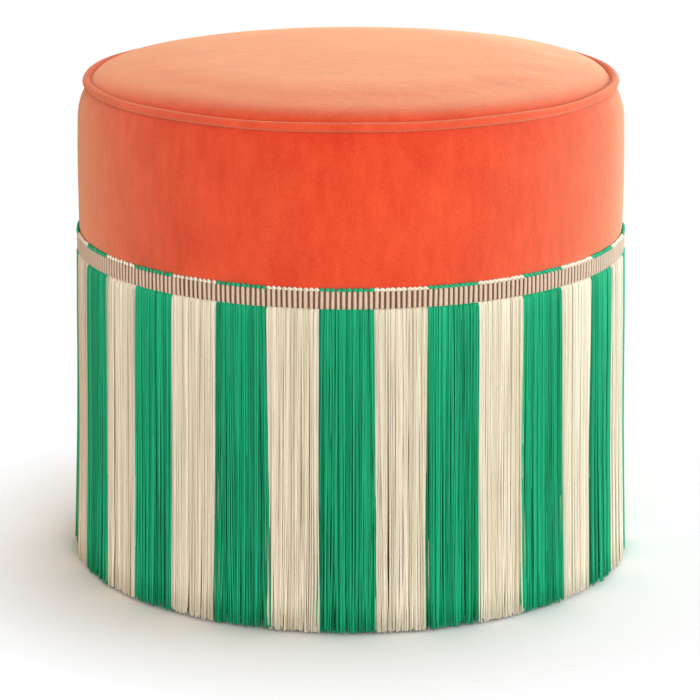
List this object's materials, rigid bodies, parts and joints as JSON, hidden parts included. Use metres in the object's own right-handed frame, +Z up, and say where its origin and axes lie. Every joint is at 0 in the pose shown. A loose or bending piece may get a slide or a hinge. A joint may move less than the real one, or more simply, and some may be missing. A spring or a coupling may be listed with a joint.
{
  "type": "fringed ottoman",
  "caption": "Round upholstered ottoman: crowned velvet seat with a piped edge, a ribbed heading tape and a long striped fringe that hides a drum frame on glides.",
  "frame": {"origin": "on the floor, on the ottoman's axis", "axes": "+Z up along the ottoman's axis; -Y towards the viewer, with a green stripe centred on it"},
  "size_m": [0.438, 0.438, 0.396],
  "materials": {
    "plywood": "sanded, unfinished",
    "hardboard": "smooth pressed board",
    "pine": "planed, unfinished",
    "zinc_steel": "zinc plated",
    "foam": "open-cell upholstery foam",
    "wadding": "soft polyester wadding",
    "orange_velvet": "short-pile velvet with a pale sheen at grazing angles",
    "piping_cord": "twisted cotton cord",
    "taupe_tape": "ribbed woven tape",
    "green_yarn": "smooth twisted yarn",
    "cream_yarn": "smooth twisted yarn",
    "lining_cloth": "plain dark cotton lining",
    "dust_cover_cloth": "black non-woven cloth",
    "glide_plastic": "moulded nylon"
  },
  "bodies": {
    "root": {"base_board": "plywood", "seat_board": "plywood", "drum_wall": "hardboard", "seat_board_screws": "zinc_steel", "base_board_screws": "zinc_steel", "glide_nails": "zinc_steel", "side_foam": "foam", "seat_foam": "foam", "seat_wadding": "wadding", "seat_cover": "orange_velvet", "side_band": "orange_velvet", "piping_cover": "orange_velvet", "lining_band": "lining_cloth", "piping_cord": "piping_cord", "heading_tape": "taupe_tape", "green_fringe": "green_yarn", "cream_fringe": "cream_yarn", "dust_cover": "dust_cover_cloth", "upright_1": "pine", "upright_2": "pine", "upright_3": "pine", "upright_4": "pine", "upright_5": "pine", "upright_6": "pine", "glide_1": "glide_plastic", "glide_2": "glide_plastic", "glide_3": "glide_plastic", "glide_4": "glide_plastic", "glide_5": "glide_plastic", "glide_6": "glide_plastic"}
  },
  "joints": []
}
